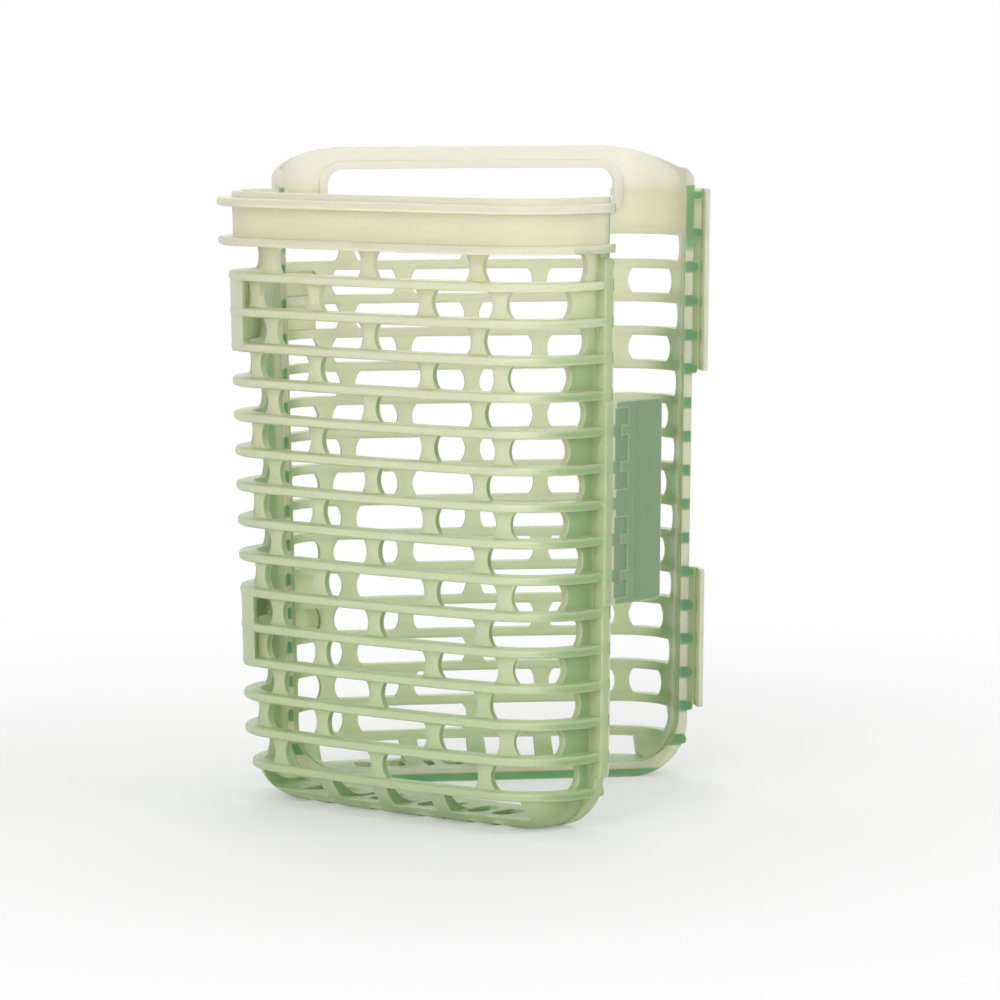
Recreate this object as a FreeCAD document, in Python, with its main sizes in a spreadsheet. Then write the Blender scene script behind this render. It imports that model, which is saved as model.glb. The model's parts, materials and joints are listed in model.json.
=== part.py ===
import FreeCAD
import Part

import math
import os

# Herb keeper basket: two ribbed half shells that swing on two hinge pins at their left edges.
# Frame: X across the width, Y from front to back, +Z up, millimetres. The origin is on the
# floor at mid width, half way through the rear half's bottom rim bar. The shapes are first drawn
# about the plane where the shut halves meet, and set back by half a rim bar at the end.

DOC = FreeCAD.newDocument("herb_keeper")
SHEET = DOC.addObject("Spreadsheet::Sheet", "sizes")

SIZES = [
    # The closed basket, over its collar flanges and its carrying handle
    ("overall_width", 130.0),
    ("overall_depth", 74.0),
    ("overall_height", 182.9),
    ("open_angle", 49.0),
    # Plan of a half shell at the rib tips, and how it narrows towards the floor
    ("corner_radius", 22.0),
    ("face_bow_radius", 390.0),
    ("width_taper", 0.0125),
    ("depth_taper", 0.032),
    ("wall_draft", 0.0225),
    ("wall", 1.8),
    ("half_gap", 0.5),
    # Ribs
    ("rib_count", 17),
    ("rib_pitch", 9.85),
    ("rib_thickness", 2.6),
    ("rib_round", 1.0),
    ("rib_reach", 3.2),
    ("lowest_rib_height", 10.6),
    ("lowest_rib_inset", 1.7),
    # Collar above the second rib, with the two top ribs as its wide flanges
    ("collar_gap", 10.9),
    ("collar_lip", 2.9),
    ("collar_set_in", 1.6),
    ("collar_wall", 2.4),
    ("flange_reach", 2.6),
    ("flange_thickness", 2.4),
    ("flange_trim", 5.0),
    ("flange_trim_reach", 0.3),
    # Webs between the ribs, counted along the wall from the middle of the broad face
    ("web_waist", 4.2),
    ("web_root", 7.0),
    ("inner_web_place", 20.2),
    ("middle_web_place", 37.2),
    ("outer_web_place", 44.4),
    ("bottom_slot_end", 47.0),
    ("bottom_web_width", 5.0),
    ("long_slot_margin", 8.1),
    ("short_slot_margin", 13.3),
    # Rim where the halves meet, rounded bottom and floor
    ("rim_width", 3.8),
    ("bottom_radius", 18.0),
    ("foot_height", 1.6),
    ("foot_width", 2.6),
    ("floor_thickness", 2.4),
    ("floor_slot_width", 6.0),
    ("floor_slot_pitch", 8.6),
    ("floor_slot_end", 18.5),
    ("floor_bar", 1.8),
    # Carrying handle that rises from the rear half's back wall
    ("handle_half_width", 61.2),
    ("handle_corner", 24.0),
    ("finger_slot_half_width", 42.5),
    ("finger_slot_drop", 6.4),
    ("finger_slot_height", 12.2),
    ("finger_slot_corner", 4.5),
    ("lip_width", 2.4),
    ("lip_height", 0.9),
    # Clasp tab on the front half's free side, and the strip that it grows from
    ("strip_low", 14.5),
    ("strip_top_gap", 2.6),
    ("tab_reach", 21.0),
    ("tab_thickness", 1.6),
    ("tab_stand_off", 0.3),
    ("tab_corner", 1.6),
    ("tab_end_gap", 2.0),
    ("tab_band", 8.5),
    ("tab_band_height", 0.5),
    ("tab_clearance", 0.3),
    ("pocket_height", 22.0),
    ("pocket_gap", 7.6),
    ("pocket_short_reach", 2.8),
    ("pocket_long_reach", 5.8),
    ("pocket_start", 1.0),
    # Guard tabs on the rear half's free side, above and below the clasp tab
    ("guard_offset", 0.8),
    ("guard_thickness", 1.3),
    ("guard_forward", 4.0),
    ("guard_flange", 1.4),
    ("guard_back", 4.4),
    # Hinges
    ("pin_radius", 0.9),
    ("pin_clearance", 0.05),
    ("pin_head_radius", 1.5),
    ("pin_head_height", 0.8),
    ("pin_head_gap", 0.3),
    ("pin_tip", 0.8),
    ("knuckle_radius", 1.9),
    ("knuckle_gap", 0.35),
    ("knuckle_clearance", 0.4),
    ("knuckle_root", 3.6),
    ("hinge_offset", 1.0),
    ("hinge_plate_set_in", 0.2),
    ("hinge_plate_inset", 1.4),
    ("hinge_plate_end", 16.0),
    ("hinge_plate_gap", 0.5),
]

for row, (alias, number) in enumerate(SIZES, start=1):
    SHEET.set("A%d" % row, alias)
    SHEET.set("B%d" % row, str(number))
    SHEET.setAlias("B%d" % row, alias)
DOC.recompute()

SIZE = {}
for alias, number in SIZES:
    SIZE[alias] = float(SHEET.get(alias))

Z_AXIS = FreeCAD.Vector(0, 0, 1)
UPPER_HINGE_RIBS = (3, 5)
LOWER_HINGE_RIBS = (12, 14)
TAB_RIBS = (6, 12)
LOWER_GUARD_RIBS = (12, 16)
FAR = 100.0


def vec(x, y, z):
    return FreeCAD.Vector(x, y, z)


def rib_z(number):
    """Height of the middle of a rib; rib 1 is the top flange and rib 17 the lowest."""
    if number == 1:
        return rib_z(2) + SIZE["collar_gap"]
    return SIZE["lowest_rib_height"] + (SIZE["rib_count"] - number) * SIZE["rib_pitch"]


COLLAR_TOP = rib_z(1) + SIZE["collar_lip"]
MID_HEIGHT = (rib_z(2) + rib_z(17)) / 2
FRONT = SIZE["half_gap"] / 2
FLOOR_TOP = SIZE["foot_height"] + SIZE["floor_thickness"]
HALF_RIB = SIZE["rib_thickness"] / 2
RIM_BACK = FRONT + SIZE["rim_width"]
SET_BACK = -(FRONT + RIM_BACK) / 2


def tip_half_width(z):
    at_flange = SIZE["overall_width"] / 2 - SIZE["flange_reach"]
    return at_flange - SIZE["width_taper"] * (rib_z(1) - z)


def tip_depth(z):
    at_flange = SIZE["overall_depth"] / 2 - SIZE["flange_reach"]
    return at_flange - SIZE["depth_taper"] * (rib_z(1) - z)


HINGE_X = -(tip_half_width(MID_HEIGHT) + SIZE["hinge_offset"])


class Plan:
    """Plan outline of one half: two straight sides, two corner arcs and a bowed face."""

    def __init__(self, half_width, depth, radius, bow):
        self.a = half_width
        self.d = depth
        self.r = radius
        self.bow = bow
        self.centre_y = depth - bow
        rise = math.sqrt((bow - radius) ** 2 - (half_width - radius) ** 2)
        self.side_end = self.centre_y + rise
        self.turn = math.atan2(rise, half_width - radius)

    def corner(self, angle):
        x = self.a - self.r + self.r * math.cos(angle)
        return x, self.side_end + self.r * math.sin(angle)

    def wire(self, z, front):
        """Closed wire at a height, whose straight closing line lies at y = front."""
        x_end, y_end = self.corner(self.turn)
        x_mid, y_mid = self.corner(self.turn / 2)
        a = self.a
        low = self.side_end
        right = Part.Arc(vec(a, low, z), vec(x_mid, y_mid, z), vec(x_end, y_end, z))
        face = Part.Arc(vec(x_end, y_end, z), vec(0, self.d, z), vec(-x_end, y_end, z))
        left = Part.Arc(vec(-x_end, y_end, z), vec(-x_mid, y_mid, z), vec(-a, low, z))
        edges = [
            Part.makeLine(vec(a, front, z), vec(a, low, z)),
            right.toShape(),
            face.toShape(),
            left.toShape(),
            Part.makeLine(vec(-a, low, z), vec(-a, front, z)),
            Part.makeLine(vec(-a, front, z), vec(a, front, z)),
        ]
        return Part.Wire(edges)

    def at(self, place):
        """Point and outward angle on the right half of the wall, at a length from the middle."""
        face = self.bow * (math.pi / 2 - self.turn)
        if place <= face:
            angle = math.pi / 2 - place / self.bow
            x = self.bow * math.cos(angle)
            return x, self.centre_y + self.bow * math.sin(angle), angle
        if place <= face + self.r * self.turn:
            angle = self.turn - (place - face) / self.r
            x, y = self.corner(angle)
            return x, y, angle
        return self.a, self.side_end - (place - face - self.r * self.turn), 0.0


def rib_plan(z, reach):
    """Plan at the rib tips at a height, moved outwards by reach."""
    radius = SIZE["corner_radius"] + reach
    bow = SIZE["face_bow_radius"] + reach
    return Plan(tip_half_width(z) + reach, tip_depth(z) + reach, radius, bow)


def drafted_plan(z, reach, z_ref):
    """Plan that widens evenly with height and lies at reach from the rib tips at z_ref."""
    return rib_plan(z_ref, reach + SIZE["wall_draft"] * (z - z_ref))


def prism(low, high, reach, front, z_ref):
    """Drafted solid between two heights, at reach from the rib tips at z_ref."""
    lower = drafted_plan(low, reach, z_ref).wire(low, front)
    upper = drafted_plan(high, reach, z_ref).wire(high, front)
    return Part.makeLoft([lower, upper], True, True)


def box(x_low, x_high, y_low, y_high, z_low, z_high):
    return Part.makeBox(x_high - x_low, y_high - y_low, z_high - z_low, vec(x_low, y_low, z_low))


def side_slab(z_low, z_high, reach_in, reach_out, y_low, y_high):
    """Slab beside the right wall that follows the taper of the rib tips."""
    points = [
        vec(tip_half_width(z_low) + reach_in, y_low, z_low),
        vec(tip_half_width(z_low) + reach_out, y_low, z_low),
        vec(tip_half_width(z_high) + reach_out, y_low, z_high),
        vec(tip_half_width(z_high) + reach_in, y_low, z_high),
    ]
    outline = Part.makePolygon(points + [points[0]])
    return Part.Face(outline).extrude(vec(0, y_high - y_low, 0))


def rounded(solid, radius, wanted):
    """Solid with the edges that a test picks rounded."""
    return solid.makeFillet(radius, [edge for edge in solid.Edges if wanted(edge.BoundBox)])


def mirrored_x(shape):
    return shape.mirror(vec(0, 0, 0), vec(1, 0, 0))


def mirrored_y(shape):
    return shape.mirror(vec(0, 0, 0), vec(0, 1, 0))


def rib_plate(number, reach, thickness):
    """Full plate at a rib's height with its outer edge rounded; the inside is cut out later."""
    z = rib_z(number)
    outline = rib_plan(z, reach).wire(z - thickness / 2, FRONT)
    plate = Part.Face(outline).extrude(vec(0, 0, thickness))
    radius = min(SIZE["rib_round"], 0.4 * thickness)

    def outer(bounds):
        on_rim = bounds.YLength < 1e-6 and abs(bounds.YMin - FRONT) < 1e-6
        return bounds.ZLength < 1e-6 and not on_rim

    return rounded(plate, radius, outer)


def with_round_bottom(solid, low, radius):
    """Solid whose underside is rounded all round, apart from the rim plane."""

    def underside(bounds):
        return bounds.ZLength < 1e-6 and abs(bounds.ZMin - low) < 1e-6 and bounds.YLength > 1e-6

    return rounded(solid, radius, underside)


def elevation(reach, bottom, top, radius, y_low, y_high):
    """Block with the shell's rounded elevation, seen along Y."""
    a_top = tip_half_width(top) + reach
    bend = bottom + radius
    a_low = tip_half_width(bend) + reach
    lean = radius * (1 - math.sqrt(0.5))
    z_mid = bottom + lean
    right = Part.Arc(vec(a_low, y_low, bend), vec(a_low - lean, y_low, z_mid), vec(a_low - radius, y_low, bottom))
    left = Part.Arc(vec(radius - a_low, y_low, bottom), vec(lean - a_low, y_low, z_mid), vec(-a_low, y_low, bend))
    edges = [
        Part.makeLine(vec(a_top, y_low, top), vec(a_low, y_low, bend)),
        right.toShape(),
        Part.makeLine(vec(a_low - radius, y_low, bottom), vec(radius - a_low, y_low, bottom)),
        left.toShape(),
        Part.makeLine(vec(-a_low, y_low, bend), vec(-a_top, y_low, top)),
        Part.makeLine(vec(-a_top, y_low, top), vec(a_top, y_low, top)),
    ]
    return Part.Face(Part.Wire(edges)).extrude(vec(0, y_high - y_low, 0))


def web_outline(low, high):
    """Web between two ribs in the X-Z plane, waisted by the round ends of its two slots."""
    root = SIZE["web_root"] / 2
    waist = SIZE["web_waist"] / 2
    slot_low = low + HALF_RIB
    slot_high = high - HALF_RIB
    middle = (low + high) / 2
    right = Part.Arc(vec(root, 0, slot_low), vec(waist, 0, middle), vec(root, 0, slot_high))
    left = Part.Arc(vec(-root, 0, slot_high), vec(-waist, 0, middle), vec(-root, 0, slot_low))
    edges = [
        Part.makeLine(vec(-root, 0, low), vec(root, 0, low)),
        Part.makeLine(vec(root, 0, low), vec(root, 0, slot_low)),
        right.toShape(),
        Part.makeLine(vec(root, 0, slot_high), vec(root, 0, high)),
        Part.makeLine(vec(root, 0, high), vec(-root, 0, high)),
        Part.makeLine(vec(-root, 0, high), vec(-root, 0, slot_high)),
        left.toShape(),
        Part.makeLine(vec(-root, 0, slot_low), vec(-root, 0, low)),
    ]
    return Part.Face(Part.Wire(edges))


def panel_outline(margin, low, high):
    """Solid wall beside the rim in the Y-Z plane, hollowed by the round end of its slot."""
    bulge = (SIZE["web_root"] - SIZE["web_waist"]) / 2
    waist = FRONT + margin
    root = waist + bulge
    slot_low = low + HALF_RIB
    slot_high = high - HALF_RIB
    arc = Part.Arc(vec(0, root, slot_low), vec(0, waist, (low + high) / 2), vec(0, root, slot_high))
    edges = [
        Part.makeLine(vec(0, FRONT, low), vec(0, root, low)),
        Part.makeLine(vec(0, root, low), vec(0, root, slot_low)),
        arc.toShape(),
        Part.makeLine(vec(0, root, slot_high), vec(0, root, high)),
        Part.makeLine(vec(0, root, high), vec(0, FRONT, high)),
        Part.makeLine(vec(0, FRONT, high), vec(0, FRONT, low)),
    ]
    return Part.Face(Part.Wire(edges))


def turned_to_wall(block, plan, place):
    """Copy of a block that faces +Y, set against the wall at a length from the face's middle."""
    x, y, angle = plan.at(place)
    copy = block.copy()
    copy.rotate(vec(0, 0, 0), Z_AXIS, math.degrees(angle) - 90)
    copy.translate(vec(x, y, 0))
    return copy


def row_blocks(upper):
    """Webs and side panels of the slot row below a rib, as blocks that pass through the wall."""
    high = rib_z(upper)
    low = rib_z(upper + 1)
    plan = drafted_plan((low + high) / 2, -SIZE["rib_reach"], MID_HEIGHT)
    if upper % 2 == 0:
        places = [0.0, SIZE["middle_web_place"]]
        margin = SIZE["long_slot_margin"]
    else:
        places = [SIZE["inner_web_place"], SIZE["outer_web_place"]]
        margin = SIZE["short_slot_margin"]
    through = 3 * SIZE["wall"]
    web = web_outline(low, high).extrude(vec(0, 2 * through, 0))
    web.translate(vec(0, -through, 0))
    blocks = []
    for place in places:
        turned = turned_to_wall(web, plan, place)
        blocks.append(turned)
        if place > 0:
            blocks.append(mirrored_x(turned))
    panel = panel_outline(margin, low, high).extrude(vec(2 * through, 0, 0))
    panel.translate(vec(plan.a - through, 0, 0))
    blocks.append(panel)
    blocks.append(mirrored_x(panel))
    return blocks


def bottom_blocks():
    """Webs of the lowest row, which curl under the shell to its foot."""
    high = rib_z(17)
    plan = drafted_plan(high, -SIZE["rib_reach"], MID_HEIGHT)
    width = SIZE["bottom_web_width"]
    length = SIZE["bottom_radius"] + 6.0
    web = box(-width / 2, width / 2, 2.0 - length, 2.0, 0.0, high)
    blocks = []
    places = [0.0, SIZE["inner_web_place"]]
    for place in places:
        turned = turned_to_wall(web, plan, place)
        blocks.append(turned)
        if place > 0:
            blocks.append(mirrored_x(turned))
    corner = box(SIZE["bottom_slot_end"], FAR, FRONT, FAR, 0.0, high)
    blocks.append(corner)
    blocks.append(mirrored_x(corner))
    return blocks


def drain_slots():
    """Cutters for the drain slots that run from front to back through the floor."""
    width = SIZE["floor_slot_width"]
    start = RIM_BACK + SIZE["floor_bar"] + width / 2
    cutters = []
    for index in range(-4, 5):
        x = index * SIZE["floor_slot_pitch"]
        end = SIZE["floor_slot_end"] - x * x / (2 * SIZE["face_bow_radius"]) - width / 2
        block = box(x - width / 2, x + width / 2, start, end, -1.0, 8.0)
        near = Part.makeCylinder(width / 2, 9.0, vec(x, start, -1.0))
        far = Part.makeCylinder(width / 2, 9.0, vec(x, end, -1.0))
        cutters.append(block.fuse([near, far]).removeSplitter())
    return cutters


def hollow_rooms():
    """The rooms inside a half shell: behind the lattice, behind the rim and behind the collar."""
    inset = SIZE["rib_reach"] + SIZE["wall"]
    room = prism(FLOOR_TOP, rib_z(2), -inset, -20.0, MID_HEIGHT)
    room = with_round_bottom(room, FLOOR_TOP, SIZE["bottom_radius"] - inset)
    thin = SIZE["collar_set_in"] + SIZE["collar_wall"]
    rim = elevation(-thin, FLOOR_TOP, rib_z(2), SIZE["bottom_radius"] - thin, -20.0, RIM_BACK - SIZE["collar_set_in"])
    low = rib_z(2) - SIZE["flange_thickness"] / 2
    upper = prism(low, COLLAR_TOP + 20.0, -thin, -20.0, rib_z(1))
    return [room, rim, upper]


def hollowed(solid, rooms):
    """Solid less the rooms, taken out one after another because the rooms overlap."""
    for room in rooms:
        solid = solid.cut(room)
    return solid


def half_shell(rooms):
    """One half shell that opens towards -Y, without its hinges, clasp, guards and handle."""
    low_edge = SIZE["bottom_radius"] - SIZE["rib_reach"]
    envelope = prism(0.0, rib_z(2), -SIZE["rib_reach"], FRONT, MID_HEIGHT)
    envelope = with_round_bottom(envelope, 0.0, low_edge)
    plates = []
    for number in range(3, int(SIZE["rib_count"])):
        plates.append(rib_plate(number, 0.0, SIZE["rib_thickness"]))
    plates.append(rib_plate(17, -SIZE["lowest_rib_inset"], SIZE["rib_thickness"]))
    for number in (1, 2):
        plates.append(rib_plate(number, SIZE["flange_reach"], SIZE["flange_thickness"]))
    rim = elevation(
        -SIZE["collar_set_in"], 0.0, rib_z(2), SIZE["bottom_radius"] - SIZE["collar_set_in"], FRONT, RIM_BACK
    )
    collar = prism(rib_z(2), COLLAR_TOP, -SIZE["collar_set_in"], FRONT, rib_z(1))
    rings = [hollowed(plate, rooms) for plate in plates]
    frame = [hollowed(rim, rooms), hollowed(collar, rooms)]
    skin = hollowed(envelope, rooms)
    blocks = bottom_blocks()
    for upper in range(2, int(SIZE["rib_count"])):
        blocks.extend(row_blocks(upper))
    webs = []
    for block in blocks:
        webs.extend(skin.common(block).Solids)
    band = envelope.common(box(-FAR, FAR, FRONT, FAR, 0.0, FLOOR_TOP))
    flat = drafted_plan(0.0, -SIZE["rib_reach"] - SIZE["foot_width"], MID_HEIGHT)
    half = flat.a - low_edge
    recess = box(-half, half, RIM_BACK, flat.d - low_edge, -1.0, SIZE["foot_height"])
    band = band.cut([recess] + drain_slots())
    pieces = rings + frame + webs + [band]
    shell = pieces[0].fuse(pieces[1:])
    return shell


def hinge_levels(ribs):
    """Low and high end of a hinge, and the heights that split it into three knuckles."""
    low = rib_z(ribs[1]) - HALF_RIB
    high = rib_z(ribs[0]) + HALF_RIB
    third = (high - low) / 3
    return low, low + third, high - third, high


def knuckle(z_low, z_high, bore):
    """Knuckle on the hinge axis with its root in the half that lies towards +Y."""
    height = z_high - z_low
    barrel = Part.makeCylinder(SIZE["knuckle_radius"], height, vec(HINGE_X, 0, z_low))
    root = box(HINGE_X, HINGE_X + SIZE["knuckle_root"], FRONT, SIZE["knuckle_root"], z_low, z_high)
    hole = Part.makeCylinder(bore, height + 2.0, vec(HINGE_X, 0, z_low - 1.0))
    return barrel.fuse(root).cut(hole)


def hinge_plate(ribs):
    """Plate that joins the rib tips and runs from the hinge round the shell's corner."""
    low, first, second, high = hinge_levels(ribs)
    middle = (low + high) / 2
    outer = prism(low, high, -SIZE["hinge_plate_set_in"], FRONT, middle)
    inner = prism(low - 1.0, high + 1.0, -SIZE["hinge_plate_inset"], FRONT - 1.0, middle)
    wrap = box(-FAR, SIZE["hinge_plate_end"] - tip_half_width(middle), FRONT, FAR, low, high)
    return outer.cut(inner).common(wrap)


def with_hinges(shell, is_rear):
    """Shell with its hinge plates and knuckles; the rear half owns the middle knuckles."""
    relief = box(-FAR, HINGE_X + SIZE["hinge_plate_gap"], -FAR, SIZE["flange_trim"], -1.0, COLLAR_TOP + 1.0)
    gap = SIZE["knuckle_gap"] / 2
    running = SIZE["pin_radius"] + SIZE["pin_clearance"]
    plates = []
    sweeps = []
    knuckles = []
    for ribs in (UPPER_HINGE_RIBS, LOWER_HINGE_RIBS):
        low, first, second, high = hinge_levels(ribs)
        plates.append(hinge_plate(ribs))
        clear = SIZE["knuckle_radius"] + SIZE["knuckle_clearance"]
        sweeps.append(Part.makeCylinder(clear, high - low + 1.0, vec(HINGE_X, 0, low - 0.5)))
        if is_rear:
            knuckles.append(knuckle(first + gap, second - gap, SIZE["pin_radius"]))
        else:
            knuckles.append(knuckle(low, first - gap, running))
            knuckles.append(knuckle(second + gap, high, running))
    return shell.fuse(plates).cut([relief] + sweeps).fuse(knuckles)


def with_clasp(shell):
    """Front half with the strip along its free side and the clasp tab that grows from it."""
    strip = elevation(0.0, 0.0, rib_z(2), SIZE["bottom_radius"], FRONT, RIM_BACK)
    thin = SIZE["collar_set_in"] + SIZE["collar_wall"] / 2
    top = rib_z(2) - SIZE["strip_top_gap"]
    strip = strip.common(side_slab(SIZE["strip_low"], top, -thin, 5.0, FRONT, RIM_BACK))

    def outer_corner(bounds):
        along = bounds.YLength > 1.0 and bounds.ZLength < 1e-6 and bounds.XLength < 1e-6
        return along and bounds.XMax > tip_half_width(bounds.ZMin) - 1.0

    strip = rounded(strip, 1.4, outer_corner)
    low = rib_z(TAB_RIBS[1]) + SIZE["tab_end_gap"]
    high = rib_z(TAB_RIBS[0]) - SIZE["tab_end_gap"]
    outer = SIZE["tab_stand_off"]
    inner = outer - SIZE["tab_thickness"]
    tab = side_slab(low, high, inner, outer, -SIZE["tab_reach"], RIM_BACK)

    def free_corner(bounds):
        at_end = bounds.YLength < 1e-6 and abs(bounds.YMin + SIZE["tab_reach"]) < 1e-6
        return at_end and bounds.ZLength < 1e-6

    tab = rounded(tab, SIZE["tab_corner"], free_corner)
    band = side_slab(low, high, inner, outer + SIZE["tab_band_height"], -SIZE["tab_band"], RIM_BACK)

    def proud(bounds):
        long_side = bounds.ZLength > 10.0 and bounds.YLength < 1e-6
        return long_side and bounds.XMax > tip_half_width(high) + outer

    band = rounded(band, 0.4, proud)
    middle = (low + high) / 2
    pockets = []
    for sign in (-1, 1):
        near = middle + sign * SIZE["pocket_gap"] / 2
        far = near + sign * SIZE["pocket_height"]
        pocket_low = min(near, far)
        pocket_high = max(near, far)
        start = SIZE["pocket_start"]
        pockets.append(
            side_slab(pocket_low, pocket_high, outer, 5.0, -SIZE["pocket_short_reach"], start)
        )
        for upper in range(TAB_RIBS[0], TAB_RIBS[1]):
            slot_low = max(pocket_low, rib_z(upper + 1) + HALF_RIB)
            slot_high = min(pocket_high, rib_z(upper) - HALF_RIB)
            if slot_high - slot_low > 1.0:
                pockets.append(side_slab(slot_low, slot_high, outer, 5.0, -SIZE["pocket_long_reach"], start))
    clasp = tab.fuse(band).cut(pockets)
    trim = side_slab(
        rib_z(3), COLLAR_TOP + 1.0, SIZE["flange_trim_reach"], 10.0, -1.0, FRONT + SIZE["flange_trim"]
    )
    return shell.cut(trim).fuse([strip, clasp])


def with_guards(shell):
    """Rear half with a recess for the clasp tab, and the guard tabs above and below it."""
    low = rib_z(TAB_RIBS[1]) + SIZE["tab_end_gap"] - SIZE["tab_clearance"]
    high = rib_z(TAB_RIBS[0]) - SIZE["tab_end_gap"] + SIZE["tab_clearance"]
    inner = SIZE["tab_stand_off"] - SIZE["tab_thickness"] - SIZE["tab_clearance"]
    recess = side_slab(low, high, inner, 10.0, -1.0, SIZE["tab_reach"] + 1.0)
    guards = []
    outer = SIZE["guard_offset"] + SIZE["guard_thickness"]
    back = SIZE["guard_back"]
    root = SIZE["collar_set_in"] + SIZE["collar_wall"] / 2
    levels = [
        (rib_z(TAB_RIBS[0]) - 0.4, COLLAR_TOP - 1.0),
        (rib_z(LOWER_GUARD_RIBS[1]), rib_z(LOWER_GUARD_RIBS[0]) + 1.0),
    ]
    for z_low, z_high in levels:
        lip = side_slab(z_low, z_high, SIZE["guard_offset"], outer, -SIZE["guard_forward"], back)

        def front_corner(bounds):
            at_end = bounds.YLength < 1e-6 and abs(bounds.YMin + SIZE["guard_forward"]) < 1e-6
            return at_end and bounds.ZLength < 1e-6

        lip = rounded(lip, 1.2, front_corner)
        flange = side_slab(z_low, z_high, -root, outer, back - SIZE["guard_flange"], back)
        guards.append(lip)
        guards.append(flange)
    return shell.cut(recess).fuse(guards)


def slot_outline(grow, y_low, y_high):
    """Rounded finger slot of the handle, grown all round, as a block along Y."""
    half = SIZE["finger_slot_half_width"] + grow
    high = SIZE["overall_height"] - SIZE["finger_slot_drop"] + grow
    low = high - SIZE["finger_slot_height"] - 2 * grow
    block = box(-half, half, y_low, y_high, low, high)

    def corners(bounds):
        return bounds.XLength < 1e-6 and bounds.ZLength < 1e-6

    return rounded(block, SIZE["finger_slot_corner"] + grow, corners)


def with_handle(shell):
    """Rear half with the back wall carried up into an arched handle with a finger slot."""
    top = SIZE["overall_height"]
    half = SIZE["handle_half_width"]
    run = SIZE["handle_corner"]
    rise = top - COLLAR_TOP
    root = COLLAR_TOP - SIZE["collar_lip"]
    corner = Part.Ellipse(vec(0, 0, 0), run, rise)
    right = Part.Arc(corner, 0, math.pi / 2).toShape()
    right.rotate(vec(0, 0, 0), vec(1, 0, 0), 90)
    right.translate(vec(half - run, 0, COLLAR_TOP))
    left = mirrored_x(right)
    edges = [
        Part.makeLine(vec(half, 0, root), vec(half, 0, COLLAR_TOP)),
        right,
        Part.makeLine(vec(half - run, 0, top), vec(run - half, 0, top)),
        left,
        Part.makeLine(vec(-half, 0, COLLAR_TOP), vec(-half, 0, root)),
        Part.makeLine(vec(-half, 0, root), vec(half, 0, root)),
    ]
    arch = Part.Face(Part.Wire(Part.__sortEdges__(edges))).extrude(vec(0, FAR, 0))
    set_in = SIZE["collar_set_in"]
    wall = SIZE["collar_wall"]
    lip = SIZE["lip_height"]
    skin_out = prism(root, top + 1.0, -set_in, 1.0, rib_z(1))
    skin_in = prism(root - 1.0, top + 2.0, -set_in - wall, 0.0, rib_z(1))
    handle = skin_out.cut(skin_in).common(arch)
    lip_low = rib_z(2)
    lip_out = prism(lip_low, top + 1.0, lip - set_in, 1.0, rib_z(1))
    lip_in = prism(lip_low - 1.0, top + 2.0, -set_in - wall - lip, 0.0, rib_z(1))
    ring = lip_out.cut(lip_in).common(slot_outline(SIZE["lip_width"], 5.0, FAR))
    return shell.fuse([handle, ring]).cut(slot_outline(0.0, 5.0, FAR))


def feature(name, shape):
    """Document object that holds a shape made from the sheet's sizes."""
    made = DOC.addObject("Part::Feature", name)
    made.Label = name
    made.Shape = shape
    return made


def pin(name, ribs):
    """Hinge pin with a low head and a pointed tip, bound to the sheet."""
    low, first, second, high = hinge_levels(ribs)
    shaft = DOC.addObject("Part::Cylinder", name + "_shaft")
    head = DOC.addObject("Part::Cylinder", name + "_head")
    tip = DOC.addObject("Part::Cone", name + "_tip")
    top = "(sizes.lowest_rib_height + (sizes.rib_count - %d) * sizes.rib_pitch" % ribs[0]
    top = top + " + sizes.rib_thickness / 2 + sizes.pin_head_gap)"
    length = "(%d * sizes.rib_pitch + sizes.rib_thickness + sizes.pin_head_gap)" % (ribs[1] - ribs[0])
    shaft.setExpression("Radius", "sizes.pin_radius * 1mm")
    shaft.setExpression("Height", length + " * 1mm")
    shaft.setExpression("Placement.Base.z", "(%s - %s) * 1mm" % (top, length))
    head.setExpression("Radius", "sizes.pin_head_radius * 1mm")
    head.setExpression("Height", "sizes.pin_head_height * 1mm")
    head.setExpression("Placement.Base.z", top + " * 1mm")
    tip.setExpression("Radius1", "sizes.pin_radius * 0.6mm")
    tip.setExpression("Radius2", "sizes.pin_radius * 1mm")
    tip.setExpression("Height", "sizes.pin_tip * 1mm")
    tip.setExpression("Placement.Base.z", "(%s - %s - sizes.pin_tip) * 1mm" % (top, length))
    whole = DOC.addObject("Part::MultiFuse", name)
    whole.Label = name
    whole.Shapes = [shaft, head, tip]
    whole.Placement = FreeCAD.Placement(vec(HINGE_X, SET_BACK, 0), FreeCAD.Rotation())
    return whole


ROOMS = hollow_rooms()
SHELL = half_shell(ROOMS)
REAR = with_handle(with_guards(with_hinges(SHELL, True)))
SHUT_FRONT = mirrored_y(with_clasp(with_hinges(SHELL, False)))
SHUT_FRONT.translate(vec(-HINGE_X, 0, 0))
# The set makes the hinge axis the origin that the open angle turns about
FRONT_HALF = Part.makeCompound([SHUT_FRONT])

rear = feature("rear_basket", REAR)
rear.Placement = FreeCAD.Placement(vec(0, SET_BACK, 0), FreeCAD.Rotation())
front = feature("front_basket", FRONT_HALF)
swing = FreeCAD.Rotation(vec(0, 0, -1), SIZE["open_angle"])
front.Placement = FreeCAD.Placement(vec(HINGE_X, SET_BACK, 0), swing)
front.setExpression("Placement.Rotation.Angle", "sizes.open_angle * 1deg")
upper_pin = pin("upper_hinge_pin", UPPER_HINGE_RIBS)
lower_pin = pin("lower_hinge_pin", LOWER_HINGE_RIBS)
DOC.recompute()

os.makedirs("parts", exist_ok=True)
for made in DOC.Objects:
    for state in made.State:
        if state in ("Invalid", "Error"):
            raise RuntimeError("%s could not be built" % made.Name)

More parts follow.
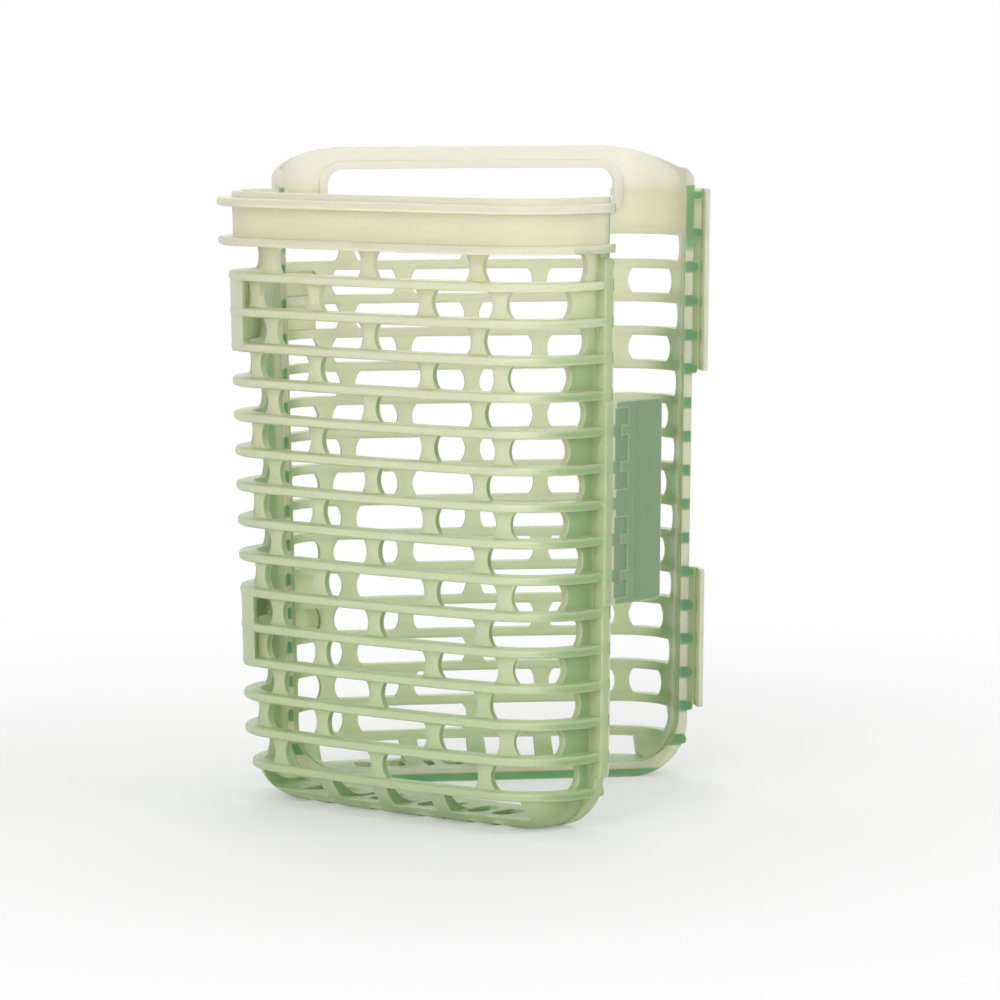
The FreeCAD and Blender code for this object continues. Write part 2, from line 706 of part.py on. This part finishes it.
NODES = [rear, front, upper_pin, lower_pin]
for node in NODES:
    if node.Shape.isNull() or not node.Shape.isValid():
        raise RuntimeError("%s has no valid shape" % node.Label)

for node in NODES:
    node.Shape.exportStep("parts/%s.step" % node.Label)
    bounds = node.Shape.BoundBox
    print(node.Label, len(node.Shape.Solids), len(node.Shape.Faces), round(node.Shape.Volume))
    print("  ", [round(v, 2) for v in (bounds.XMin, bounds.XMax, bounds.YMin, bounds.YMax, bounds.ZMin, bounds.ZMax)])
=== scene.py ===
"""Herb keeper basket: two translucent lattice half shells on hinge pins, in a white studio."""

import json
import math

import bpy
from mathutils import Matrix, Vector

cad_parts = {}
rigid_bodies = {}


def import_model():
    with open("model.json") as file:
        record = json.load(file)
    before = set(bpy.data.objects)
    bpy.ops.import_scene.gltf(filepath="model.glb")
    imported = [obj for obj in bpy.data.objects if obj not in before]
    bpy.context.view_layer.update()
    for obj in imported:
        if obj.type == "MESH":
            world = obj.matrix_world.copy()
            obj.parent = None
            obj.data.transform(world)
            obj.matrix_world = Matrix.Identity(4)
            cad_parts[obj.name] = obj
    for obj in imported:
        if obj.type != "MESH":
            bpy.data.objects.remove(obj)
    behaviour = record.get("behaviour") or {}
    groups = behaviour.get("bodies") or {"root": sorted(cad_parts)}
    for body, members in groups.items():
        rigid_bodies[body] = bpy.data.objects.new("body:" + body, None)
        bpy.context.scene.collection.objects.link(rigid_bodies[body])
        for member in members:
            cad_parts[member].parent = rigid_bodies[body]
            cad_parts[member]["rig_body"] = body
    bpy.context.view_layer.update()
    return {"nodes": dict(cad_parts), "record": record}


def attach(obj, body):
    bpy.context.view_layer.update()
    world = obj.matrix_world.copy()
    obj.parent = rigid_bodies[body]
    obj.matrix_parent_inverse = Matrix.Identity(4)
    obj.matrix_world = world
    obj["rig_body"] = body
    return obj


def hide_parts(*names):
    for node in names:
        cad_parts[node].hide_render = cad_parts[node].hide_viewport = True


bl_info = {
    "name": "Herb Keeper Basket",
    "version": (1, 0, 0),
    "blender": (4, 5, 0),
    "location": "View3D > Sidebar > Herb Keeper",
    "description": "Dresses the hinged lattice basket in translucent plastic and sets its studio",
    "category": "Object",
}

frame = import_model()

MM = 0.001
PHOTO_SIZE = 1000
SENSOR = 36.0

# The basket: its swing, its pieces and the lattice's own measures
SWING = frame["record"]["behaviour"]["joints"][0]
HINGE_PLACE = tuple(SWING["pos_m"])
OPEN_TURN = -math.radians(SWING["range_deg"][1])
SHELLS = {"rear_basket": 0.0, "front_basket": OPEN_TURN}
PINS = ("upper_hinge_pin", "lower_hinge_pin")
RIB_PITCH = 9.85 * MM
LOWEST_RIB = 10.6 * MM
WIDTH_TAPER = 0.0125

# Where each tone starts and is full, by height above the floor
LOWER_FADE = (140.0 * MM, 0.0)
SIDE_FADE = (158.0 * MM, 115.0 * MM)
BELOW_COLLAR_FADE = (160.0 * MM, 155.5 * MM)
COLLAR_FADE = (148.0 * MM, 160.0 * MM)
COLLAR_END_FADE = (152.0 * MM, 155.0 * MM)
HANDLE_FADE = (168.0 * MM, 176.0 * MM)

# By distance from the parting plane, and by reach to the free side
STRIP_FADE = (6.0 * MM, 3.6 * MM)
CUT_FACE_FADE = (1.0 * MM, 0.65 * MM)
OVERLAP_FADE = (0.2 * MM, 0.8 * MM)
OUTSIDE_FADE = (61.0 * MM, 61.3 * MM)

# By distance from a rib as a share of the pitch, and by how far a face is level or sideways
RIB_END_FADE = (0.21, 0.13)
HALF_PITCH = 0.5
LEVEL_FACING = (0.45, 0.85)
SIDE_FACING = (0.55, 0.99)

# The painted highlight on sharp edges, and how much of the lower green the upright webs take
EDGE_HIGHLIGHT_FACING = (0.99, 0.85)
EDGE_HIGHLIGHT_SHARE = 0.65
WALL_SHARE = 0.55

# The plastic's body and grain
GRAIN_SCALE = 2600.0
GRAIN_DETAIL = 2.0
GRAIN_STRENGTH = 0.04
GRAIN_DEPTH = 0.1 * MM
BEVEL_SAMPLES = 4
PLASTIC_IOR = 1.49
SEE_THROUGH = 0.45
SHELL_GLOW = 0.7
PIN_GLOW = 0.5
GLOW_REACH = (1.0, 1.0, 0.55)

# The studio; each lamp has its name, the setting of its power, its width and its place
FLOOR_HALF = 6.0
FLOOR_FADE = (0.10, 0.42)
FLOOR_WHITE_NEAR = 0.25
PAPER_ROUGHNESS = 0.9
CLIP_START = 0.05
CLIP_END = 20.0
LAMP_TARGET = (-0.02, -0.03, 0.09)
LAMPS = (
    ("key_lamp", "key_power", 0.9, (-0.7, -1.4, 0.7)),
    ("fill_lamp", "fill_power", 0.8, (1.2, -0.7, 0.7)),
    ("back_lamp", "back_power", 1.0, (0.2, 1.1, 1.0)),
)


def colour(name, description, default):
    """Colour setting."""
    return bpy.props.FloatVectorProperty(
        name=name, description=description,
        subtype="COLOR", size=3, min=0.0, max=1.0, default=default)


def distance(name, description, most, precision, default):
    """Setting of a small length in metres."""
    return bpy.props.FloatProperty(
        name=name, description=description,
        subtype="DISTANCE", unit="LENGTH", min=0.0, max=most, precision=precision, default=default)


def angle(name, description, default):
    """Setting of a camera angle in radians."""
    return bpy.props.FloatProperty(
        name=name, description=description, subtype="ANGLE", unit="ROTATION", default=default)


def power(name, description, default):
    """Setting of a lamp's power in watts."""
    return bpy.props.FloatProperty(
        name=name, description=description, subtype="POWER", unit="POWER", min=0.0, default=default)


class PlasticSettings(bpy.types.PropertyGroup):
    """Colours and feel of the moulded plastic."""

    collar_colour: colour("Collar colour", "Cream of the thin solid collar", (0.88, 0.85, 0.68))
    handle_colour: colour("Handle colour", "Near white of the thin arched handle", (0.97, 0.94, 0.83))
    wall_colour: colour(
        "Wall colour", "Near white of the thin upright webs and rib edges", (0.86, 0.88, 0.66))
    rib_colour: colour("Rib colour", "Pale yellow green of the ribs' level faces", (0.66, 0.70, 0.45))
    low_colour: colour("Lower colour", "Deeper green near the floor", (0.55, 0.70, 0.38))
    side_colour: colour("Side colour", "Green of the walls beside the rim", (0.36, 0.52, 0.25))
    strip_colour: colour(
        "Strip colour", "Light green of the bars beside the parting plane", (0.58, 0.68, 0.40))
    rim_colour: colour(
        "Rim colour", "Deep green of the rib ends seen on the cut faces", (0.22, 0.50, 0.24))
    # Painted highlight: a pale colour laid along sharp edges where light would catch them
    edge_highlight_colour: colour(
        "Edge colour", "Pale glow that thin translucent edges take on", (0.93, 0.95, 0.72))
    # Width of the painted edge highlight
    edge_highlight_width: distance(
        "Edge glow width", "How far in from a sharp edge the pale glow reaches", 0.002, 5, 0.0006)
    tab_colour: colour(
        "Tab colour", "Grey green of the clasp tab that laps over the other half", (0.27, 0.41, 0.24))
    guard_colour: colour(
        "Guard colour", "Near white of the thin guards beside the clasp", (0.92, 0.94, 0.74))
    roughness: bpy.props.FloatProperty(
        name="Roughness", description="How matt the moulded surface is",
        subtype="FACTOR", min=0.0, max=1.0, default=0.36)
    glow_depth: distance("Glow depth", "How far light spreads inside the plastic", 0.02, 4, 0.003)
    edge_radius: distance(
        "Edge radius", "Softness of the moulded edges in the shading", 0.002, 5, 0.00025)


class FinishSettings(bpy.types.PropertyGroup):
    """How the shells are smoothed for the render."""

    weld: distance("Weld distance", "Corners closer than this become one", 0.001, 6, 0.000002)
    smooth_angle: bpy.props.FloatProperty(
        name="Smooth angle", description="Edges flatter than this are shaded smooth",
        subtype="ANGLE", unit="ROTATION", min=0.0, max=math.pi, default=math.radians(32.0))


class StudioSettings(bpy.types.PropertyGroup):
    """Camera, lamps, floor and world."""

    camera_place: bpy.props.FloatVectorProperty(
        name="Camera place", description="Where the camera stands",
        subtype="TRANSLATION", unit="LENGTH", size=3, default=(-0.22377, -1.36682, 0.21565))
    camera_yaw: angle("Camera yaw", "Turn of the view to the right of straight ahead", 0.1651)
    camera_pitch: angle("Camera pitch", "Tilt of the view, upwards above zero", -0.0965)
    camera_roll: angle("Camera roll", "Turn of the picture about the line of sight", 0.0013)
    focal_pixels: bpy.props.FloatProperty(
        name="Focal length in pixels", description="Focal length over the size of one pixel",
        min=100.0, default=4815.2)
    key_power: power("Key lamp power", "Strength of the large soft lamp at the front left", 11.0)
    fill_power: power("Fill lamp power", "Strength of the soft lamp at the right", 5.0)
    back_power: power("Back lamp power", "Strength of the lamp behind the basket", 6.0)
    world_level: bpy.props.FloatProperty(
        name="World level", description="Level of the even light from all round",
        min=0.0, max=2.0, default=0.6)
    paper_colour: colour("Paper colour", "Colour of the floor under the basket", (0.90, 0.90, 0.90))


def link(tree, source, target):
    tree.links.new(source, target)


def feed(tree, source, target):
    """Give an input either a linked socket or a plain value."""
    if isinstance(source, bpy.types.NodeSocket):
        link(tree, source, target)
    else:
        target.default_value = source


def maths(tree, operation, *operands):
    """Result of a Math node on sockets and plain numbers."""
    made = tree.nodes.new("ShaderNodeMath")
    made.operation = operation
    for place, operand in enumerate(operands):
        feed(tree, operand, made.inputs[place])
    return made.outputs[0]


def ramp(tree, source, fade, bottom=0.0, top=1.0, curve="SMOOTHSTEP"):
    """Value that goes from bottom to top as the source goes through the fade's two ends."""
    made = tree.nodes.new("ShaderNodeMapRange")
    made.interpolation_type = curve
    made.inputs["From Min"].default_value = fade[0]
    made.inputs["From Max"].default_value = fade[1]
    feed(tree, bottom, made.inputs["To Min"])
    feed(tree, top, made.inputs["To Max"])
    link(tree, source, made.inputs["Value"])
    return made.outputs["Result"]


def mix(tree, factor, first, second):
    """Colour between two colours."""
    made = tree.nodes.new("ShaderNodeMix")
    made.data_type = "RGBA"
    link(tree, factor, made.inputs["Factor"])
    feed(tree, first, made.inputs["A"])
    feed(tree, second, made.inputs["B"])
    return made.outputs["Result"]


def split(tree, vector):
    """The X, Y and Z outputs of a vector."""
    made = tree.nodes.new("ShaderNodeSeparateXYZ")
    link(tree, vector, made.inputs["Vector"])
    return made.outputs


def turned(tree, vector, turn, centre=(0.0, 0.0, 0.0)):
    """Vector turned about an upright axis through the centre."""
    made = tree.nodes.new("ShaderNodeVectorRotate")
    made.rotation_type = "Z_AXIS"
    made.inputs["Center"].default_value = centre
    link(tree, vector, made.inputs["Vector"])
    link(tree, turn, made.inputs["Angle"])
    return made.outputs["Vector"]


def smoothing_tree():
    """Geometry tree that welds a shell's corners and shades its rounded faces smooth."""
    tree = bpy.data.node_groups.new("moulded_shell", "GeometryNodeTree")
    face = tree.interface
    face.new_socket("Geometry", in_out="INPUT", socket_type="NodeSocketGeometry")
    for name in ("Weld distance", "Smooth angle"):
        face.new_socket(name, in_out="INPUT", socket_type="NodeSocketFloat")
    face.new_socket("Material", in_out="INPUT", socket_type="NodeSocketMaterial")
    face.new_socket("Geometry", in_out="OUTPUT", socket_type="NodeSocketGeometry")
    nodes = tree.nodes
    start = nodes.new("NodeGroupInput")
    weld = nodes.new("GeometryNodeMergeByDistance")
    bend = nodes.new("GeometryNodeInputMeshEdgeAngle")
    flat = nodes.new("FunctionNodeCompare")
    flat.operation = "LESS_EQUAL"
    faces = nodes.new("GeometryNodeSetShadeSmooth")
    edges = nodes.new("GeometryNodeSetShadeSmooth")
    edges.domain = "EDGE"
    faces.inputs["Shade Smooth"].default_value = True
    realize = nodes.new("GeometryNodeRealizeInstances")
    paint = nodes.new("GeometryNodeSetMaterial")
    end = nodes.new("NodeGroupOutput")
    link(tree, start.outputs["Geometry"], weld.inputs["Geometry"])
    link(tree, start.outputs["Weld distance"], weld.inputs["Distance"])
    link(tree, weld.outputs["Geometry"], faces.inputs["Geometry"])
    link(tree, faces.outputs["Geometry"], edges.inputs["Geometry"])
    link(tree, bend.outputs["Unsigned Angle"], flat.inputs["A"])
    link(tree, start.outputs["Smooth angle"], flat.inputs["B"])
    link(tree, flat.outputs["Result"], edges.inputs["Shade Smooth"])
    link(tree, edges.outputs["Geometry"], realize.inputs["Geometry"])
    link(tree, realize.outputs["Geometry"], paint.inputs["Geometry"])
    link(tree, start.outputs["Material"], paint.inputs["Material"])
    link(tree, paint.outputs["Geometry"], end.inputs["Geometry"])
    return tree


def socket_names(tree):
    """Identifier of each input socket, by its name."""
    return {s.name: s.identifier for s in tree.interface.items_tree if s.in_out == "INPUT"}


def moulded_copy(name, node, tree, finish, material):
    """Plain mesh object made by running a CAD node's mesh through the smoothing tree."""
    mesh = frame["nodes"][node].data.copy()
    raw = bpy.data.objects.new(name + "_raw", mesh)
    bpy.context.scene.collection.objects.link(raw)
    modifier = raw.modifiers.new("moulded_shell", "NODES")
    modifier.node_group = tree
    names = socket_names(tree)
    modifier[names["Weld distance"]] = finish.weld
    modifier[names["Smooth angle"]] = finish.smooth_angle
    modifier[names["Material"]] = material
    bpy.context.view_layer.update()
    graph = bpy.context.evaluated_depsgraph_get()
    made = bpy.data.meshes.new_from_object(raw.evaluated_get(graph), depsgraph=graph)
    bpy.data.objects.remove(raw)
    made.name = name
    piece = bpy.data.objects.new(name, made)
    bpy.context.scene.collection.objects.link(piece)
    return piece


def height_tone(group, start, height):
    """Tone by height: green near the floor, pale ribs and webs, cream collar, white handle."""
    lower = ramp(group, height, LOWER_FADE)
    ribs = mix(group, lower, start["Ribs"], start["Lower"])
    walls = mix(group, maths(group, "MULTIPLY", lower, WALL_SHARE), start["Walls"], start["Lower"])
    level = maths(group, "ABSOLUTE", split(group, start["Facing"])["Z"])
    tone = mix(group, ramp(group, level, LEVEL_FACING), walls, ribs)
    tone = mix(group, ramp(group, height, COLLAR_FADE), tone, start["Collar"])
    return mix(group, ramp(group, height, HANDLE_FADE), tone, start["Handle"])


def side_mask(group, start, height):
    """Mask of the walls that face sideways when the basket is shut, below the collar."""
    facing = split(group, turned(group, start["Facing"], start["Turn"]))
    sideways = ramp(group, maths(group, "ABSOLUTE", facing["X"]), SIDE_FACING)
    return maths(group, "MULTIPLY", sideways, ramp(group, height, SIDE_FADE))


def rib_end_mask(group, height):
    """Mask of the heights of the ribs and of the collar, where a cut face looks deep green."""
    steps = maths(group, "MULTIPLY_ADD", height, 1.0 / RIB_PITCH, -LOWEST_RIB / RIB_PITCH)
    from_rib = maths(group, "PINGPONG", steps, HALF_PITCH)
    rib_end = ramp(group, from_rib, RIB_END_FADE)
    return maths(group, "MAXIMUM", rib_end, ramp(group, height, COLLAR_END_FADE))


def overlap_mask(group, start, own, past):
    """Mask of what laps over the other half or stands outside the ribs' tips."""
    beyond = maths(group, "MULTIPLY", past, start["Beyond"])
    lean = maths(group, "MULTIPLY_ADD", own["Z"], -WIDTH_TAPER, own["X"])
    return maths(
        group, "MAXIMUM", ramp(group, beyond, OVERLAP_FADE), ramp(group, lean, OUTSIDE_FADE))


def tone_group():
    """Shader group that turns place and facing into the plastic's colour and a fine bump."""
    group = bpy.data.node_groups.new("plastic_tone", "ShaderNodeTree")
    face = group.interface
    face.new_socket("Place", in_out="INPUT", socket_type="NodeSocketVector")
    face.new_socket("Facing", in_out="INPUT", socket_type="NodeSocketVector")
    face.new_socket("Turn", in_out="INPUT", socket_type="NodeSocketFloat")
    face.new_socket("Beyond", in_out="INPUT", socket_type="NodeSocketFloat")
    for name in ("Handle", "Collar", "Walls", "Ribs", "Lower", "Side", "Strip", "Rim", "Overlap"):
        face.new_socket(name, in_out="INPUT", socket_type="NodeSocketColor")
    face.new_socket("Colour", in_out="OUTPUT", socket_type="NodeSocketColor")
    face.new_socket("Height", in_out="OUTPUT", socket_type="NodeSocketFloat")
    start = group.nodes.new("NodeGroupInput").outputs
    end = group.nodes.new("NodeGroupOutput")

    height = split(group, start["Place"])["Z"]
    below = ramp(group, height, BELOW_COLLAR_FADE)
    own = split(group, turned(group, start["Place"], start["Turn"], HINGE_PLACE))
    past = maths(group, "SUBTRACT", own["Y"], HINGE_PLACE[1])
    away = maths(group, "ABSOLUTE", past)

    tone = height_tone(group, start, height)
    tone = mix(group, side_mask(group, start, height), tone, start["Side"])
    strip = maths(group, "MULTIPLY", ramp(group, away, STRIP_FADE), below)
    tone = mix(group, strip, tone, start["Strip"])
    cut_tone = mix(group, rib_end_mask(group, height), start["Collar"], start["Rim"])
    tone = mix(group, ramp(group, away, CUT_FACE_FADE), tone, cut_tone)
    overlap = maths(group, "MULTIPLY", overlap_mask(group, start, own, past), below)
    tone = mix(group, overlap, tone, start["Overlap"])

    grain = group.nodes.new("ShaderNodeTexNoise")
    grain.inputs["Scale"].default_value = GRAIN_SCALE
    grain.inputs["Detail"].default_value = GRAIN_DETAIL
    link(group, start["Place"], grain.inputs["Vector"])
    link(group, grain.outputs["Fac"], end.inputs["Height"])
    link(group, tone, end.inputs["Colour"])
    return group


def bevel_normal(tree, radius):
    """Normal rounded over a sharp edge."""
    made = tree.nodes.new("ShaderNodeBevel")
    made.samples = BEVEL_SAMPLES
    made.inputs["Radius"].default_value = radius
    return made.outputs["Normal"]


def painted_highlight_mask(tree, width):
    """Mask of the painted edge highlight: the surface close to a sharp edge, where the rounded normal
    leaves the face's.
    """
    flat = tree.nodes.new("ShaderNodeNewGeometry")
    agree = tree.nodes.new("ShaderNodeVectorMath")
    agree.operation = "DOT_PRODUCT"
    link(tree, flat.outputs["True Normal"], agree.inputs[0])
    link(tree, bevel_normal(tree, width), agree.inputs[1])
    return ramp(tree, agree.outputs["Value"], EDGE_HIGHLIGHT_FACING, top=EDGE_HIGHLIGHT_SHARE, curve="LINEAR")


def plastic(name, settings, tones, turn):
    """Material of one shell; turn undoes the shell's own swing so its sides are told apart."""
    material = bpy.data.materials.new(name)
    material.use_nodes = True
    tree = material.node_tree
    shader = tree.nodes["Principled BSDF"]
    place = tree.nodes.new("ShaderNodeTexCoord")
    tone = tree.nodes.new("ShaderNodeGroup")
    tone.node_tree = tones
    tone.inputs["Turn"].default_value = -turn
    tone.inputs["Beyond"].default_value = 1.0 if turn else -1.0
    colours = {
        "Overlap": settings.tab_colour if turn else settings.guard_colour,
        "Handle": settings.handle_colour,
        "Collar": settings.collar_colour,
        "Walls": settings.wall_colour,
        "Ribs": settings.rib_colour,
        "Lower": settings.low_colour,
        "Side": settings.side_colour,
        "Strip": settings.strip_colour,
        "Rim": settings.rim_colour,
    }
    for socket, shade in colours.items():
        tone.inputs[socket].default_value = (*shade, 1.0)
    link(tree, place.outputs["Object"], tone.inputs["Place"])
    link(tree, place.outputs["Normal"], tone.inputs["Facing"])
    # Painted highlight: the pale edge colour is mixed over the tone near sharp edges
    edge = painted_highlight_mask(tree, settings.edge_highlight_width)
    painted_edge_highlight = mix(tree, edge, tone.outputs["Colour"], (*settings.edge_highlight_colour, 1.0))
    link(tree, painted_edge_highlight, shader.inputs["Base Color"])
    bump = tree.nodes.new("ShaderNodeBump")
    bump.inputs["Strength"].default_value = GRAIN_STRENGTH
    bump.inputs["Distance"].default_value = GRAIN_DEPTH
    link(tree, tone.outputs["Height"], bump.inputs["Height"])
    link(tree, bevel_normal(tree, settings.edge_radius), bump.inputs["Normal"])
    link(tree, bump.outputs["Normal"], shader.inputs["Normal"])
    shader.inputs["Roughness"].default_value = settings.roughness
    shader.inputs["IOR"].default_value = PLASTIC_IOR
    shader.inputs["Transmission Weight"].default_value = SEE_THROUGH
    shader.inputs["Subsurface Weight"].default_value = SHELL_GLOW
    shader.inputs["Subsurface Radius"].default_value = GLOW_REACH
    shader.inputs["Subsurface Scale"].default_value = settings.glow_depth
    return material


class HERB_OT_half_shells(bpy.types.Operator):
    """Make both lattice half shells, with the handle, the clasp and the guard tabs"""

    bl_idname = "herb.half_shells"
    bl_label = "Lattice half shells"

    def execute(self, context):
        scene = context.scene
        tree = smoothing_tree()
        tones = tone_group()
        for node, turn in SHELLS.items():
            material = plastic(node + "_plastic", scene.herb_plastic, tones, turn)
            piece = moulded_copy(node + "_shell", node, tree, scene.herb_finish, material)
            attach(piece, frame["nodes"][node]["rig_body"])
            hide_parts(node)
        return {"FINISHED"}


class HERB_OT_hinge_pins(bpy.types.Operator):
    """Give the two hinge pins their plastic"""

    bl_idname = "herb.hinge_pins"
    bl_label = "Hinge pins"

    def execute(self, context):
        settings = context.scene.herb_plastic
        material = bpy.data.materials.new("pin_plastic")
        material.use_nodes = True
        shader = material.node_tree.nodes["Principled BSDF"]
        shader.inputs["Base Color"].default_value = (*settings.rib_colour, 1.0)
        shader.inputs["Roughness"].default_value = settings.roughness
        shader.inputs["Subsurface Weight"].default_value = PIN_GLOW
        shader.inputs["Subsurface Scale"].default_value = settings.glow_depth
        for name in PINS:
            node = frame["nodes"][name]
            node.data.materials.clear()
            node.data.materials.append(material)
        return {"FINISHED"}


def shows_white(tree):
    """Mask of the rays that find white in the surroundings: camera, gloss and transmission."""
    rays = tree.nodes.new("ShaderNodeLightPath").outputs
    seen = maths(tree, "MAXIMUM", rays["Is Camera Ray"], rays["Is Glossy Ray"])
    return maths(tree, "MAXIMUM", seen, rays["Is Transmission Ray"])


def paper_material(paper_colour):
    """Pale floor that keeps the basket's shadow and fades to white away from it."""
    material = bpy.data.materials.new("pale_paper")
    material.use_nodes = True
    tree = material.node_tree
    nodes = tree.nodes
    paper = nodes["Principled BSDF"]
    paper.inputs["Base Color"].default_value = (*paper_colour, 1.0)
    paper.inputs["Roughness"].default_value = PAPER_ROUGHNESS
    place = nodes.new("ShaderNodeTexCoord")
    reach = nodes.new("ShaderNodeVectorMath")
    reach.operation = "LENGTH"
    link(tree, place.outputs["Object"], reach.inputs[0])
    fade = ramp(tree, reach.outputs["Value"], FLOOR_FADE, bottom=FLOOR_WHITE_NEAR)
    white = nodes.new("ShaderNodeEmission")
    white.inputs["Strength"].default_value = 1.0
    both = nodes.new("ShaderNodeMixShader")
    link(tree, maths(tree, "MULTIPLY", fade, shows_white(tree)), both.inputs["Fac"])
    link(tree, paper.outputs["BSDF"], both.inputs[1])
    link(tree, white.outputs["Emission"], both.inputs[2])
    link(tree, both.outputs["Shader"], nodes["Material Output"].inputs["Surface"])
    return material


def white_world(level):
    """World that lights at a level and shows white to the camera, gloss and transmission."""
    world = bpy.data.worlds.new("studio_world")
    world.use_nodes = True
    tree = world.node_tree
    sky = tree.nodes["Background"]
    sky.inputs["Color"].default_value = (1.0, 1.0, 1.0, 1.0)
    strength = ramp(tree, shows_white(tree), (0.0, 1.0), bottom=level, curve="LINEAR")
    link(tree, strength, sky.inputs["Strength"])
    return world


def area_lamp(name, watts, width, place):
    """Soft square lamp that points at the basket."""
    data = bpy.data.lights.new(name, "AREA")
    data.energy = watts
    data.shape = "RECTANGLE"
    data.size = width
    data.size_y = width
    lamp = bpy.data.objects.new(name, data)
    lamp.location = place
    lamp.rotation_mode = "QUATERNION"
    lamp.rotation_quaternion = (Vector(LAMP_TARGET) - Vector(place)).to_track_quat("-Z", "Y")
    bpy.context.scene.collection.objects.link(lamp)
    return lamp


def flat_floor(name, half):
    """Square floor about the origin."""
    corners = [(-half, -half, 0.0), (half, -half, 0.0), (half, half, 0.0), (-half, half, 0.0)]
    mesh = bpy.data.meshes.new(name)
    mesh.from_pydata(corners, [], [(0, 1, 2, 3)])
    floor = bpy.data.objects.new(name, mesh)
    bpy.context.scene.collection.objects.link(floor)
    return floor


def photo_camera(studio):
    """Camera at the photograph's viewing angle."""
    data = bpy.data.cameras.new("photo_camera")
    data.sensor_width = SENSOR
    data.lens = studio.focal_pixels * SENSOR / PHOTO_SIZE
    data.clip_start = CLIP_START
    data.clip_end = CLIP_END
    camera = bpy.data.objects.new("photo_camera", data)
    bpy.context.scene.collection.objects.link(camera)
    yaw = studio.camera_yaw
    pitch = studio.camera_pitch
    ahead = Vector((
        math.sin(yaw) * math.cos(pitch),
        math.cos(yaw) * math.cos(pitch),
        math.sin(pitch),
    ))
    right = ahead.cross(Vector((0.0, 0.0, 1.0))).normalized()
    up = right.cross(ahead)
    spin = Matrix.Rotation(studio.camera_roll, 3, ahead)
    turn = Matrix((spin @ right, spin @ up, -ahead)).transposed()
    camera.matrix_world = Matrix.Translation(Vector(studio.camera_place)) @ turn.to_4x4()
    return camera


class HERB_OT_studio(bpy.types.Operator):
    """Set the floor, the lamps, the world and the camera"""

    bl_idname = "herb.studio"
    bl_label = "Studio"

    def execute(self, context):
        scene = context.scene
        studio = scene.herb_studio
        floor = flat_floor("studio_floor", FLOOR_HALF)
        floor.data.materials.append(paper_material(studio.paper_colour))
        lamps = [
            area_lamp(name, getattr(studio, setting), width, place)
            for name, setting, width, place in LAMPS
        ]
        scene.world = white_world(studio.world_level)
        scene.camera = photo_camera(studio)
        scene.view_settings.view_transform = "Standard"
        return {"FINISHED"}


class HERB_PT_panel(bpy.types.Panel):
    """Sidebar panel with the basket's steps and settings"""

    bl_label = "Herb Keeper"
    bl_idname = "HERB_PT_panel"
    bl_space_type = "VIEW_3D"
    bl_region_type = "UI"
    bl_category = "Herb Keeper"

    def draw(self, context):
        layout = self.layout
        scene = context.scene
        for operator in OPERATORS:
            layout.operator(operator.bl_idname)
        for group in (scene.herb_plastic, scene.herb_finish, scene.herb_studio):
            box = layout.box()
            for name in group.__annotations__:
                box.prop(group, name)


OPERATORS = (HERB_OT_half_shells, HERB_OT_hinge_pins, HERB_OT_studio)
SETTINGS = (PlasticSettings, FinishSettings, StudioSettings)
CLASSES = SETTINGS + OPERATORS + (HERB_PT_panel,)


def register():
    for cls in CLASSES:
        bpy.utils.register_class(cls)
    bpy.types.Scene.herb_plastic = bpy.props.PointerProperty(type=PlasticSettings)
    bpy.types.Scene.herb_finish = bpy.props.PointerProperty(type=FinishSettings)
    bpy.types.Scene.herb_studio = bpy.props.PointerProperty(type=StudioSettings)


def unregister():
    del bpy.types.Scene.herb_studio
    del bpy.types.Scene.herb_finish
    del bpy.types.Scene.herb_plastic
    for cls in reversed(CLASSES):
        bpy.utils.unregister_class(cls)


def main():
    register()
    bpy.ops.herb.half_shells()
    bpy.ops.herb.hinge_pins()
    bpy.ops.herb.studio()


if __name__ == "__main__":
    main()
